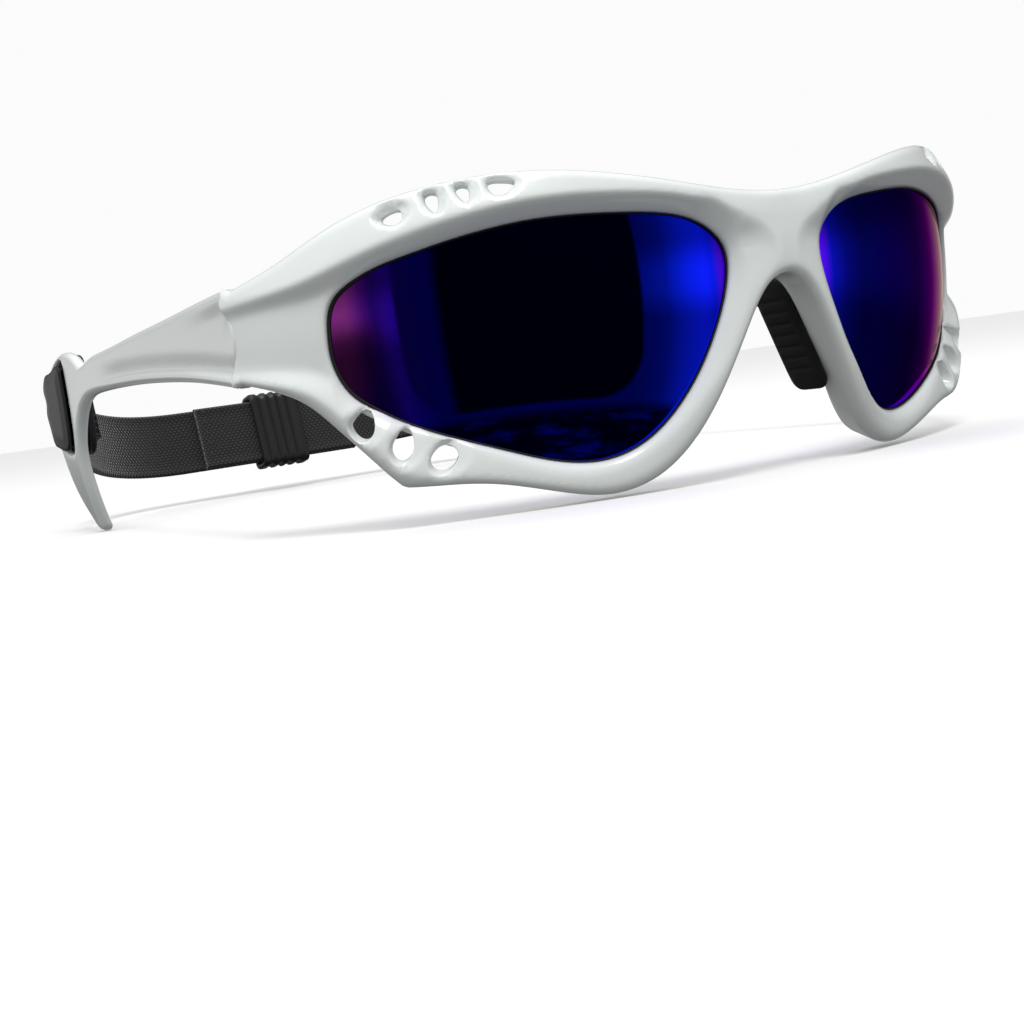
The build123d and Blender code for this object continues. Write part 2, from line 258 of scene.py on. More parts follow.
def plate(edges, spacing, place, front, back, mirror_at=None, rows=()):
    """Points and faces of a curved plate with rounded edges.

    edges: the outer edge, anticlockwise, then the holes, clockwise, as (line, closed, groove), with the
    rounding's radius in the line's third column. place(q, height) gives points in space; front and back give
    the faces' heights. With mirror_at it is one half, closed by its reflection there. rows: distances from
    the edges where a crease needs a row of points."""
    points, bars, starts = [], [], []
    count = 0
    for line, closed, groove in edges:
        ring = line[:, :2]
        starts.append(count)
        size = len(ring)
        if not closed:
            n = max(2, int(abs(ring[0, 1] - ring[-1, 1]) / spacing))
            v = np.linspace(ring[-1, 1], ring[0, 1], n + 1)[1:-1]
            ring = np.vstack([ring, np.column_stack([np.full(len(v), mirror_at), v])])
        points.append(ring)
        bars += [(count + i, count + (i + 1) % len(ring)) for i in range(len(ring))]
        count += len(ring)
    outer = points[0]

    def gaps(q):
        """Distances from each point to each edge, and the edges' radii there."""
        found = [nearest(q, line, closed) for line, closed, groove in edges]
        return np.array([f[0] for f in found]), np.array([f[2][:, 0] for f in found])

    def within(q):
        ok = inside(q, outer)
        for line, closed, groove in edges[1:]:
            ok &= ~inside(q, line)
        return ok

    extra = []
    for line, closed, groove in edges:
        across = left_of(line, closed)
        insets = [line[:, 2] * (1 - math.cos(math.radians(angle))) for angle in ROUNDING]
        for inset in insets + [np.full(len(line), far) for far in rows]:
            row = line[:, :2] + across * inset[:, None]
            keep = (gaps(row)[0] >= 0.97 * inset - TINY).all(0) & within(row)
            if mirror_at is not None:
                keep &= row[:, 0] > mirror_at + 0.3 * spacing
            extra.append(row[keep])
    low, high = outer.min(0), outer.max(0)
    levels = np.arange(low[1], high[1], spacing * math.sqrt(3) / 2)
    grid = np.vstack([
        [(u, v) for u in np.arange(low[0] + (k % 2) * spacing / 2, high[0], spacing)]
        for k, v in enumerate(levels)
    ])
    grid = grid[within(grid)]
    far, radii = gaps(grid)
    keep = (far > np.maximum(radii, max(rows, default=0)) + 0.55 * spacing).all(0)
    if mirror_at is not None:
        keep &= grid[:, 0] > mirror_at + 0.4 * spacing
    extra.append(grid[keep])
    flat = np.vstack(points + extra)
    made = delaunay_2d_cdt([Vector(p) for p in flat.tolist()], bars, [], 0, 1e-5)
    q = np.array([tuple(v) for v in made[0]])
    tris = np.array([f for f in made[2] if len(f) == 3])
    new = {old: i for i, olds in enumerate(made[3]) for old in olds}
    ab, ac = q[tris[:, 1]] - q[tris[:, 0]], q[tris[:, 2]] - q[tris[:, 0]]
    area = ab[:, 0] * ac[:, 1] - ab[:, 1] * ac[:, 0]
    middle = q[tris].mean(1)
    seed = int(np.argmax(np.abs(area) * within(middle)))
    kept = reached(tris.tolist(), {tuple(sorted(e)) for e, olds in zip(made[1], made[4]) if olds}, seed)
    tris, area = tris[kept], area[kept]
    tris[area < 0] = tris[area < 0][:, ::-1]

    far, radii = gaps(q)
    drop = np.zeros(len(q))
    for gap, radius in zip(far, radii):
        t = np.clip(1 - gap / radius, 0, 1)
        drop = np.maximum(drop, radius * (1 - np.sqrt(1 - t * t)))
    high, low = front(q) - drop, back(q) + drop
    total = len(q)
    cloud = [place(q, high), place(q, low)]
    faces = [tuple(t) for t in tris.tolist() + (tris[:, ::-1] + total).tolist()]
    count = 2 * total
    for (line, closed, groove), start in zip(edges, starts):
        size = len(line)
        own = np.array([new[start + i] for i in range(size)])
        across = left_of(line, closed)
        if not closed:
            across[[0, -1]] = 0
        rings = [own]
        for inset, depth in groove or [(0.0, f) for f in WALL_STEPS]:
            level = depth if groove else high[own] * (1 - depth) + low[own] * depth
            ring = line[:, :2] + across * inset
            cloud.append(place(ring, np.broadcast_to(level, size).astype(float)))
            rings.append(np.arange(count, count + size))
            count += size
        rings.append(own + total)
        reach = size if closed else size - 1
        for first, second in zip(rings, rings[1:]):
            for i in range(reach):
                j = (i + 1) % size
                faces.append((int(first[j]), int(first[i]), int(second[i]), int(second[j])))
    cloud = np.vstack(cloud)
    if mirror_at is not None:
        cloud, faces = reflected(cloud, faces)
    return cloud, faces


def reflected(cloud, faces):
    """The plate and its reflection in x = 0, joined where they meet."""
    shared = np.abs(cloud[:, 0]) < TINY
    other = np.arange(len(cloud))
    other[~shared] = len(cloud) + np.arange((~shared).sum())
    twin = cloud[~shared] * np.array([-1, 1, 1])
    faces = faces + [tuple(int(other[i]) for i in reversed(f)) for f in faces]
    return np.vstack([cloud, twin]), faces


# ---- the front frame's base surface
# A flat chart (p, z) of the left lens's sphere: p runs round it from the sphere's front, z is height.
BLEND_WIDTH = 3.0
MIDLINE = -LENS_RADIUS * math.asin(LENS_CENTRE[0] / LENS_RADIUS)


def chart(x, z, height=0.0):
    """Chart coordinates of the point at (x, z) seen from the front, that far outside the sphere."""
    share = LENS_RADIUS / (LENS_RADIUS + height)
    flat = x if x < LENS_CENTRE[0] else LENS_CENTRE[0] + (x - LENS_CENTRE[0]) * share
    p = LENS_RADIUS * math.asin((flat - LENS_CENTRE[0]) / LENS_RADIUS)
    return p, LENS_CENTRE[2] + (z - LENS_CENTRE[2]) * share


def chart_at(x, y, z):
    """Chart coordinates below a point in space."""
    ray = np.array([x, y, z]) - LENS_CENTRE
    ray *= LENS_RADIUS / np.linalg.norm(ray)
    return LENS_RADIUS * math.asin(ray[0] / LENS_RADIUS), LENS_CENTRE[2] + ray[2]


def on_sphere(q, height):
    """Points over chart coordinates q, height outside the sphere, level across the middle of the bridge."""
    x = LENS_CENTRE[0] + LENS_RADIUS * np.sin(q[:, 0] / LENS_RADIUS)
    x[np.abs(q[:, 0] - MIDLINE) < 1e-5] = 0
    bent = np.sqrt(x * x + BLEND_WIDTH ** 2)
    dx, dz = bent - LENS_CENTRE[0], q[:, 1] - LENS_CENTRE[2]
    deep = np.sqrt(LENS_RADIUS ** 2 - dx * dx - dz * dz)
    normal = unit(np.column_stack([dx / deep * x / bent, -np.ones(len(x)), dz / deep]))
    return np.column_stack([x, LENS_CENTRE[1] - deep, q[:, 1]]) + normal * height[:, None]


# Outlines of the left half as (x, z), seen from the front, at the height of the frame's face.
FACE = 3.0
RIM_LINE = [(0, -1.6), (2.1, -2.1), (3.9, -3.5), (7.2, -8.9), (10.4, -15.2), (14.6, -22.5), (20.2, -28.1),
            (27, -30.1), (35.4, -28.5), (43.1, -26.1), (48.5, -25.1), (53.9, -24.4)]
CHEEK_LINE = [(53.9, -24.4), (57.6, -19.9), (61.2, -15.4), (65.6, -10.4), (70.6, -7.2)]
BROW_LINE = [(70.9, 6.9), (66.2, 9.6), (61, 12.9), (53.8, 15.8), (44.7, 16.9), (35, 16.4), (22, 14.0),
             (9.8, 11.4), (0, 10.4)]
SEAM_LINE = [(37.4, -7.3), (38.0, -6.2), (37.2, -3.8), (36.4, 0.0), (36.9, 2.5), (38.0, 5.0), (37.4, 7.1)]
SEAM_X = 70.2
LENS_OPENING = [(8.6, 2.4), (10.6, 5.6), (14.6, 7.9), (24.5, 9.5), (37.0, 9.9), (47.4, 8.4), (51.1, 7.5),
                (54.2, 6.6), (57.0, 5.2), (59.0, 3.4), (59.9, 1.2), (60.2, -1.9), (60.1, -5.0), (59.4, -8.0),
                (57.9, -10.9), (55.2, -13.4), (50.9, -16.4), (41.5, -20.9), (34.5, -23.6), (27.6, -24.5),
                (21.6, -22.4), (16.2, -17.0), (11.4, -8.6)]
# Each vent is a pocket in the face that ramps down from its nasal side to a smaller hole right through.
BROW_POCKETS = [
    [(54.9, 12.7), (53.6, 14.4), (51.2, 14.6), (50.4, 13.4), (51.6, 11.7), (53.6, 11.4)],
    [(49.3, 15.6), (47.6, 16.0), (46.2, 15.3), (46.6, 12.9), (47.7, 11.8), (48.9, 12.6)],
    [(45.7, 15.9), (43.9, 16.2), (42.5, 15.5), (43.0, 13.6), (44.1, 12.6), (45.3, 13.6)],
    [(41.9, 15.8), (39.4, 16.1), (37.4, 15.1), (38.4, 13.6), (40.4, 13.0), (41.7, 13.8)],
]
BROW_HOLES = [
    [(54.2, 12.9), (53.1, 13.8), (51.9, 13.7), (51.8, 12.4), (53.0, 11.8)],
    [(48.9, 15.3), (47.7, 15.4), (47.5, 14.0), (48.0, 12.5), (48.6, 13.2)],
    [(45.2, 15.6), (44.0, 15.7), (43.8, 14.4), (44.3, 13.2), (44.9, 14.0)],
    [(41.4, 15.5), (39.5, 15.6), (38.2, 15.0), (39.0, 14.0), (40.3, 13.5), (41.2, 14.1)],
]
CHEEK_POCKETS = [
    [(59.8, -14.0), (58.7, -12.4), (56.7, -12.7), (55.8, -15.1), (56.8, -17.2), (58.2, -17.0)],
    [(55.5, -18.2), (54.3, -16.0), (52.5, -16.3), (51.5, -18.6), (52.6, -20.9), (54.2, -20.8)],
    [(51.3, -21.0), (50.3, -19.0), (47.9, -19.1), (46.2, -20.8), (47.4, -22.7), (50.1, -22.9)],
]
CHEEK_HOLES = [
    [(59.6, -14.2), (58.7, -13.1), (57.5, -14.2), (57.2, -16.2), (58.2, -16.9)],
    [(55.3, -18.3), (54.2, -16.5), (53.1, -18.2), (53.2, -20.0), (54.1, -20.5)],
    [(51.1, -21.2), (50.0, -19.7), (48.0, -21.0), (48.5, -22.4), (50.0, -22.7)],
]
# Ridges as (x, z, height, slope towards the brow or lens, slope towards the lens or chin, softness).
BROW_RIDGE = [
    (-7.6, 7.8, 3.4, 0.16, 0.70, 1.0), (0, 7.1, 3.3, 0.12, 0.30, 2.0), (7.6, 7.8, 3.4, 0.16, 0.80, 0.9),
    (14.3, 8.9, 3.7, 0.16, 0.95, 0.7), (26.2, 11.0, 4.0, 0.18, 1.05, 0.6), (36.6, 11.9, 4.0, 0.22, 1.15, 0.5),
    (43.9, 11.8, 3.8, 0.30, 1.20, 0.5), (50.9, 10.6, 3.4, 0.32, 1.15, 0.45),
    (58.8, 7.9, 2.9, 0.28, 1.10, 0.35), (62.9, 6.1, 2.5, 0.28, 1.00, 0.3), (66.3, 5.1, 1.9, 0.28, 0.90, 0.3),
    (70.0, 4.3, 1.25, 0.20, 0.70, 0.4),
]
CHIN_RIDGE = [
    (70.2, -6.3, 1.20, 0.40, 0.55, 0.4), (67.3, -7.3, 1.70, 0.50, 0.65, 0.35),
    (63.9, -9.2, 2.5, 0.50, 0.82, 0.35), (61.0, -12.9, 3.1, 0.40, 0.85, 0.4),
    (56.7, -19.7, 3.8, 0.35, 0.80, 0.6), (54.2, -22.4, 3.9, 0.35, 0.80, 0.7),
    (51.0, -23.5, 3.5, 0.35, 0.80, 0.7), (46.7, -24.2, 2.9, 0.35, 0.70, 0.7),
    (35.2, -27.2, 2.4, 0.35, 0.60, 0.8), (27.0, -28.4, 2.4, 0.35, 0.55, 0.9),
    (20.1, -25.8, 2.4, 0.35, 0.50, 0.9), (13.3, -17.2, 2.5, 0.35, 0.45, 0.9),
    (9.2, -9.8, 2.6, 0.35, 0.42, 0.9), (6.0, -4.2, 2.8, 0.35, 0.42, 0.9), (3.2, -0.6, 3.1, 0.25, 0.45, 0.9),
    (1.7, 2.4, 3.3, 0.10, 0.50, 0.9), (3.0, 5.2, 3.4, 0.10, 0.65, 0.9), (6.5, 7.2, 3.4, 0.14, 0.80, 0.9),
]
PANEL, PANEL_AT_SEAM, PANEL_FADE = 0.8, 0.55, 63
BROW_DEPTH, CHEEK_DEPTH, POCKET_WALL, POCKET_FLOOR, VENT_FACE = 1.5, 0.9, 2.4, 0.9, 2.4
# The lip round the lens opening, less steep by the nose.
LIP_HEIGHT, LIP_SLOPE, NASAL_SLOPE, NASAL_FADE = 0.6, 1.9, 1.15, (11, 16)
# The back is level, but for a flange behind the nose, hollows round the vents and a recess for the hinge.
BACK, FLANGE_DROP, FLANGE_EDGE = -3.6, 3.6, (1.3, 2.3)
HOLLOW_EDGE, LENS_CLEARANCE = (2.6, 5.0), (1.5, 2.6)
RECESS_SPOT, RECESS_HALF, RECESS_DEPTH = (69.0, 36.0, 0.0), 6.0, 1.9
FLANGE_LINE = [(5.2, -3.6), (9.3, -11.0), (13.0, -19.4)]


def charted(points, spacing, height=FACE, closed=False, ends=(None, None)):
    line = np.array([chart(x, z, height) for x, z in points])
    return spline(line, spacing, closed, ends)


def with_radius(line, radius):
    return np.column_stack([line, np.full(len(line), radius)])


def ridge_line(rows):
    line = [chart(abs(x), z, height) for x, z, height, left, right, soft in rows]
    line = [(2 * MIDLINE - p if row[0] < 0 else p, z) for (p, z), row in zip(line, rows)]
    return spline(np.column_stack([line, np.array(rows)[:, 2:]]), 0.4)


brow_ridge = ridge_line(BROW_RIDGE)
chin_ridge = ridge_line(CHIN_RIDGE)
bridge_ridge = np.array([(MIDLINE, 14, 3.2, 0.3, 0.3, 2.6), (MIDLINE, 4, 3.6, 0.34, 0.34, 2.6),
                         (MIDLINE, -4, 3.3, 0.3, 0.3, 2.6)])
flange_line = charted(FLANGE_LINE, 0.4, 0)
EDGE_STEP = 0.5
EDGE_ROUND, SEAM_ROUND, LIP_ROUND, VENT_ROUND, POCKET_ROUND = 1.2, 0.2, 0.3, 0.25, 0.35


def hole(points, radius, height):
    """A clockwise hole in the chart, with the radius of its rounding."""
    line = charted(points, EDGE_STEP * 0.8, height, closed=True)
    area = (line[:, 0] * np.roll(line[:, 1], -1) - np.roll(line[:, 0], -1) * line[:, 1]).sum()
    return with_radius(line[::-1] if area > 0 else line, radius)


lens_edge = hole(LENS_OPENING, LIP_ROUND, 0.0)
pockets = [(hole(outline, POCKET_ROUND, VENT_FACE), depth)
           for outlines, depth in ((BROW_POCKETS, BROW_DEPTH), (CHEEK_POCKETS, CHEEK_DEPTH))
           for outline in outlines]


def plain_face(q):
    """The front before its vents."""
    h = smax(ridge(q, brow_ridge), ridge(q, chin_ridge), 0.4)
    h = smax(h, ridge(q, bridge_ridge), 0.7)
    x = LENS_CENTRE[0] + LENS_RADIUS * np.sin(q[:, 0] / LENS_RADIUS)
    h = smax(h, PANEL + (PANEL_AT_SEAM - PANEL) * step(x, PANEL_FADE, SEAM_X), 0.35)
    slope = NASAL_SLOPE + (LIP_SLOPE - NASAL_SLOPE) * step(x, *NASAL_FADE)
    return smin(h, LIP_HEIGHT + slope * nearest(q, lens_edge, True)[0], 0.4)


def front_face(q):
    h = plain_face(q)
    for pocket, deep in pockets:
        middle = pocket[:, :2].mean(0)
        half = np.abs(pocket[:, 0] - middle[0]).max()
        gap = nearest(q, pocket, True)[0] * np.where(inside(q, pocket), 1, -1)
        ramp = deep * step((q[:, 0] - middle[0]) / half, -1.25, 0.35)
        h -= smax(smin(ramp, POCKET_WALL * gap, 0.3), np.zeros(len(q)), 0.12) - 0.06
    return h


def back_face(q):
    h = BACK - FLANGE_DROP * (1 - step(nearest(q, flange_line)[0], *FLANGE_EDGE))
    clear = step(nearest(q, lens_edge, True)[0], *LENS_CLEARANCE)
    face = plain_face(q)
    for pocket, deep in pockets:
        far = np.linalg.norm(q - pocket[:, :2].mean(0), axis=1)
        hollow = (1 - step(far, *HOLLOW_EDGE)) * clear
        h = np.maximum(h, BACK + (face - deep - POCKET_FLOOR - BACK) * hollow)
    close = np.abs(q - chart_at(*RECESS_SPOT)).max(1) / RECESS_HALF
    return h + RECESS_DEPTH * (1 - step(close, 0.6, 1.0))


rim = charted(RIM_LINE, EDGE_STEP, ends=((1, 0), None))
cheek = charted(CHEEK_LINE, EDGE_STEP)
seam = spline([chart_at(SEAM_X, y, z) for y, z in SEAM_LINE], EDGE_STEP)
brow = charted(BROW_LINE, EDGE_STEP, ends=(None, (-1, 0)))
outer_edge = np.vstack([
    with_radius(rim, EDGE_ROUND), with_radius(cheek[1:], EDGE_ROUND),
    with_radius(seam, SEAM_ROUND), with_radius(brow, EDGE_ROUND),
])

# The lens sits in a groove: steps of the opening's wall, as (depth into the wall, height).
LENS_GROOVE = [(0.0, 0.06), (1.2, 0.05), (1.2, -2.05), (0.0, -2.06)]
frame_edges = [(outer_edge, False, None), (lens_edge, True, LENS_GROOVE)]
frame_edges += [(hole(outline, VENT_ROUND, VENT_FACE), True, None) for outline in BROW_HOLES + CHEEK_HOLES]
cloud, faces = plate(frame_edges, 0.5, on_sphere, front_face, back_face, MIDLINE)
front_shell = mesh_object("front_frame_shell", cloud, faces)
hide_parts("front_frame")
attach(front_shell, "front")


def twin(cloud, faces):
    """The same shape on the wearer's right."""
    return cloud * np.array([-1, 1, 1]), [f[::-1] for f in faces]


def pair(name, cloud, faces, slot, bodies, *replaced):
    """A left piece and its twin, riding on their bodies and standing for CAD nodes of the same kind."""
    made = []
    for side, body, shape in zip(("left", "right"), bodies, ((cloud, faces), twin(cloud, faces))):
        piece = mesh_object(f"{name}_{side}", *shape)
        if replaced:
            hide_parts(*[f"{node}_{side}" for node in replaced])
        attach(piece, body)
        made.append(piece)
    return made


# ---- lenses
LENS_SEAT = 1.1


def widened(line, distance):
    """A clockwise line moved outwards, away from what it encloses."""
    out = line.copy()
    out[:, :2] += left_of(line) * distance
    return out


lens_rim = widened(lens_edge, LENS_SEAT)[::-1]
lens_rim[:, 2] = 0.12
cloud, faces = plate([(lens_rim, True, None)], 1.0, on_sphere,
                     flat(0.0), flat(-LENS_THICKNESS))
lenses = pair("lens_glass", cloud, faces, "lens_mirror", ("front", "front"), "lens")


# Painted shadow: a thin dark ring on the lens along the opening, wider at the temple end, stands for the
# shade in the gap between lens and frame.
SHADOW_RING_TOP, SHADOW_RING_WIDTH, SHADOW_RING_EXTRA = 0.24, 0.22, 0.24
lens_x = LENS_CENTRE[0] + LENS_RADIUS * np.sin(lens_edge[:, :1] / LENS_RADIUS)
shadow_ring_out = with_radius(widened(lens_edge, -0.02)[::-1, :2], 0.06)
shadow_ring_in = with_radius(widened(lens_edge, -SHADOW_RING_WIDTH - SHADOW_RING_EXTRA * step(lens_x, 53, 59))[:, :2], 0.08)
cloud, faces = plate([(shadow_ring_out, True, None), (shadow_ring_in, True, None)], 0.5, on_sphere,
                     flat(SHADOW_RING_TOP), flat(0.01))
lens_shadow_rings = pair("lens_shadow_ring", cloud, faces, "pad_rubber", ("front", "front"))


# ---- temples
# Outlines of the left temple from its side, as (y, z), and its faces from above, as (y, x).
SEAM_GAP = 0.3
TEMPLE_UNDER = [(46, -6.3), (58, -5.1), (73, -4.1), (88, -3.5), (103, -3.3), (113, -3.4), (120, -4.0),
                (126.5, -6.6), (131.8, -13.0), (134.9, -22.0), (137.6, -29.0)]
TIP = [(137.6, -29.0), (138.8, -29.9), (140.6, -29.9), (141.6, -28.8)]
LOOP_REAR = [(141.6, -28.8), (143.6, -22), (144.3, -14.5), (146.3, -9.4), (147.9, -4), (146.4, 0.8),
             (140.6, 4.4), (132, 5.6), (126.6, 4.3), (122.6, 2.2)]
TEMPLE_TOP = [(122.6, 2.2), (114.5, 3.4), (105, 3.9), (86, 4.9), (68, 5.7), (52, 6.5)]
SLOT = [(134.2, 3.9), (138.6, 3.7), (142.6, 1.6), (145.0, -1.6), (144.5, -3.7), (145.5, -6.4), (144.3, -9.8),
        (141.6, -12.6), (137.8, -13.8), (134.8, -13.3), (133.6, -10.5), (133.2, -5.0), (133.4, 1.2)]
TEMPLE_OUTER = [(30, 70.3), (38, 70.1), (52, 69.5), (85, 68.0), (122, 66.4), (150, 65.4)]
TEMPLE_INNER = [(30, 66.6), (38, 66.6), (52, 66.3), (85, 65.3), (122, 63.9), (150, 63.0)]
TEMPLE_ROUND, SLOT_ROUND = 1.15, 0.9
BEND_TOP, BEND_FOOT, BEND_REACH = -12.0, -31.0, 4.8
DISH_DEPTH, DISH_FADE, LIP_DEPTH, LIP_FADE = 0.5, (38, 64), 0.42, (96, 114)

outer_face = spline(TEMPLE_OUTER, 1.0)
inner_face = spline(TEMPLE_INNER, 1.0)
temple_seam = spline([(y + SEAM_GAP, z) for y, z in reversed(SEAM_LINE)], EDGE_STEP)
temple_under = spline([tuple(temple_seam[-1])] + TEMPLE_UNDER, EDGE_STEP)
temple_tip = spline(TIP, EDGE_STEP)
temple_rear = spline(LOOP_REAR, EDGE_STEP)
temple_top = spline(TEMPLE_TOP + [tuple(temple_seam[0])], EDGE_STEP)
temple_edge = np.vstack([
    with_radius(temple_under, TEMPLE_ROUND), with_radius(temple_tip[1:], 0.9),
    with_radius(temple_rear[1:], TEMPLE_ROUND), with_radius(temple_top[1:], TEMPLE_ROUND),
    with_radius(temple_seam[1:-1], SEAM_ROUND),
])
slot_edge = with_radius(spline(SLOT, EDGE_STEP, True), SLOT_ROUND)


def on_temple(q, height):
    """Points over (y, z), height outside the temple's outer face, which bends inwards towards its tip."""
    x = np.interp(q[:, 0], *outer_face.T)
    low = np.clip((BEND_TOP - q[:, 1]) / (BEND_TOP - BEND_FOOT), 0, 2)
    return np.column_stack([x - BEND_REACH * low ** 1.6 + height, q[:, 0], q[:, 1]])


def temple_front(q):
    """A face dished between a lip along the underside and the top edge, most of all at the seam."""
    y = q[:, 0]
    from_under = nearest(q, temple_under)[0]
    from_top = nearest(q, temple_top)[0]
    dished = step(from_under, 1.1, 2.3) * step(from_top, 0.8, 4.0)
    lip = step(from_under, 1.1, 2.0) * (1 - step(from_under, 2.0, 5.5))
    return -DISH_DEPTH * dished * (1 - step(y, *DISH_FADE)) - LIP_DEPTH * lip * (1 - step(y, *LIP_FADE))


def temple_back(q):
    return np.interp(q[:, 0], *inner_face.T) - np.interp(q[:, 0], *outer_face.T)


cloud, faces = plate([(temple_edge, True, None), (slot_edge, True, None)], 0.7, on_temple,
                     temple_front, temple_back, rows=(1.55, 2.0, 2.45))
TEMPLES, FRONTS = ("temple_left", "temple_right"), ("front", "front")
temples = pair("temple_arm", cloud, faces, "frame_white", TEMPLES, "temple")


# ---- hinges
BARREL, LUG_LOW, LUG_HIGH, KNUCKLE_HALF = 2.1, 2.2, 5.0, 2.0


def on_level(middle):
    """Points over (x, y), height above a level."""
    return lambda q, height: np.column_stack([q, middle + height])


def barrel_outline(web):
    """Anticlockwise round the hinge pin's barrel, with its web's corners where the barrel leaves off."""
    first, last, corners = web
    angles = np.radians(np.arange(first, last + 1, 12))
    arc = np.column_stack([HINGE_X + BARREL * np.cos(angles), HINGE_Y + BARREL * np.sin(angles)])
    loop = np.vstack([arc, corners])
    fine = [loop[i] + (loop[(i + 1) % len(loop)] - loop[i]) * t
            for i in range(len(loop)) for t in (0, 0.34, 0.67)]
    return with_radius(np.array(fine), 0.3)


def slab(outline, low, high):
    half = (high - low) / 2
    return plate([(outline, True, None)], 0.8, on_level((low + high) / 2), flat(half), flat(-half))


LUG_WEB = (0, 180, [(HINGE_X - BARREL, 33.6), (HINGE_X + BARREL - 0.3, 33.6)])
KNUCKLE_WEB = (90, 270, [(HINGE_X + 0.4, HINGE_Y - BARREL), (HINGE_X + 1.8, 37.1), (68.0, 37.1),
                         (68.0, HINGE_Y + BARREL)])
hinges = []
for label, web, low, high, bodies in (
    ("lug_upper", LUG_WEB, LUG_LOW, LUG_HIGH, FRONTS),
    ("lug_lower", LUG_WEB, -LUG_HIGH, -LUG_LOW, FRONTS),
    ("knuckle", KNUCKLE_WEB, -KNUCKLE_HALF, KNUCKLE_HALF, TEMPLES),
):
    hinges += pair(f"hinge_{label}", *slab(barrel_outline(web), low, high), "frame_white", bodies)


# ---- nose pads
PAD_START, PAD_END, PAD_THICK, PAD_SHIFT = 3.4, 11.0, 1.55, -0.45
PAD_LINE = [(5.5, -1.2), (9.0, -10.0), (12.6, -19.2)]
PAD_CROWN, GRIP_PITCH, GRIP_DEPTH = 0.35, 1.9, 0.28
pad_path = spline(PAD_LINE, 0.3)
pad_run = run_of(pad_path)
pad_way = unit(np.gradient(pad_path, axis=0))


def on_pad(q, height):
    """Points over (run along the nose line, depth), height towards the nose."""
    x, z = read(q[:, 0], pad_run, pad_path).T
    way_x, way_z = read(q[:, 0], pad_run, pad_way).T
    return np.column_stack([x + PAD_SHIFT + way_z * height, q[:, 1], z - way_x * height])


def pad_face(q):
    """Crowned, with shallow grooves across for grip."""
    run = (q[:, 0] - pad_run[-1] / 2) / (pad_run[-1] / 2)
    deep = (q[:, 1] - (PAD_START + PAD_END) / 2) / ((PAD_END - PAD_START) / 2)
    crown = PAD_THICK - PAD_CROWN * (run ** 4 + deep ** 4)
    groove = np.clip(np.cos(q[:, 0] * 2 * math.pi / GRIP_PITCH), 0, 1) ** 6
    return crown - GRIP_DEPTH * groove * (1 - step(np.maximum(abs(run), abs(deep)), 0.55, 0.8))


def rounded_box(low, high, radius, step_size):
    """Anticlockwise outline of a box with round corners."""
    low, high = np.array(low, float), np.array(high, float)
    loop = []
    for k, (sx, sy) in enumerate(((1, -1), (1, 1), (-1, 1), (-1, -1))):
        centre = np.array([high[0] - radius if sx > 0 else low[0] + radius,
                           high[1] - radius if sy > 0 else low[1] + radius])
        for a in np.radians(np.linspace(-90 + 90 * k, 90 * k, 7)):
            loop.append(centre + radius * np.array([math.cos(a), math.sin(a)]))
    fine = []
    for i in range(len(loop)):
        a, b = loop[i], loop[(i + 1) % len(loop)]
        parts = max(1, int(round(np.linalg.norm(b - a) / step_size)))
        fine += [a + (b - a) * t / parts for t in range(parts)]
    return np.array(fine)


pad_edge = with_radius(rounded_box((0.2, PAD_START), (pad_run[-1] - 0.2, PAD_END), 2.0, 0.4), 0.6)
cloud, faces = plate([(pad_edge, True, None)], 0.4, on_pad, pad_face, flat(0.0))
pads = pair("nose_pad_soft", cloud, [f[::-1] for f in faces], "pad_rubber", FRONTS, "nose_pad")


# ---- strap anchors
ANCHOR_FACE, ANCHOR_FOOT, FLANGE_LOW, FLANGE_HIGH = 65.0, 61.9, 61.4, 62.8
RIB_MIDDLE, RIB_PITCH, RIB_REACH = -4.6, 3.4, 6
CAP = [(134.6, 3.0), (138.8, 2.9), (142.4, 2.3), (145.4, 2.0), (147.4, 0.7), (148.2, -1.2), (147.4, -3.2),
       (148.2, -5.2), (147.2, -8.6), (145.6, -11.8), (143.6, -12.4), (141.4, -12.9), (137.8, -13.3),
       (135.2, -12.8), (134.2, -10.5), (133.8, -5.0), (134.0, 1.2)]
CAP_FOOT, CAP_EDGE, CAP_CROWN = 0.02, 0.75, 0.3
slot_line = with_radius(spline(SLOT, 0.6, True), 0.5)


def beside(x):
    """Points over (y, z), height outside a plane at x."""
    return lambda q, height: np.column_stack([x + height, q])


def shrunk(line, distance):
    """A clockwise line, made anticlockwise and moved inwards."""
    return widened(line, -distance)[::-1]


plug_line, plug_flange_line = shrunk(slot_line, 0.12), shrunk(slot_line, -0.85)


def plug_face(q):
    """A face with a moulded rim and three grip ribs."""
    gap = nearest(q, plug_line, True)[0]
    up = q[:, 1] - RIB_MIDDLE
    ribs = np.clip(np.cos(up * 2 * math.pi / RIB_PITCH), 0, 1) ** 3 * (abs(up) < RIB_REACH)
    return 0.5 * step(gap, 0.4, 1.0) - 0.55 * step(gap, 1.2, 1.7) + 0.45 * ribs * step(gap, 1.7, 2.3)


def cap_face(q):
    return CAP_EDGE + CAP_CROWN * step(nearest(q, cap_line, True)[0], 0.5, 3.0)


cap_line = with_radius(spline(CAP, 0.5, True)[::-1], 0.55)
anchors = []
for label, shape, replaced in (
    ("plug", plate([(plug_line, True, None)], 0.5, beside(ANCHOR_FACE - 0.5), plug_face,
                   flat(ANCHOR_FOOT - ANCHOR_FACE)), ["strap_anchor"]),
    ("plug_cap", plate([(cap_line, True, None)], 0.6, on_temple, cap_face, flat(CAP_FOOT)), []),
    ("plug_flange", plate([(plug_flange_line, True, None)], 0.8, beside(FLANGE_LOW),
                          flat(FLANGE_HIGH - FLANGE_LOW), flat(0.0)), []),
):
    anchors += pair(f"strap_{label}", *shape, "anchor_plastic", TEMPLES, *replaced)


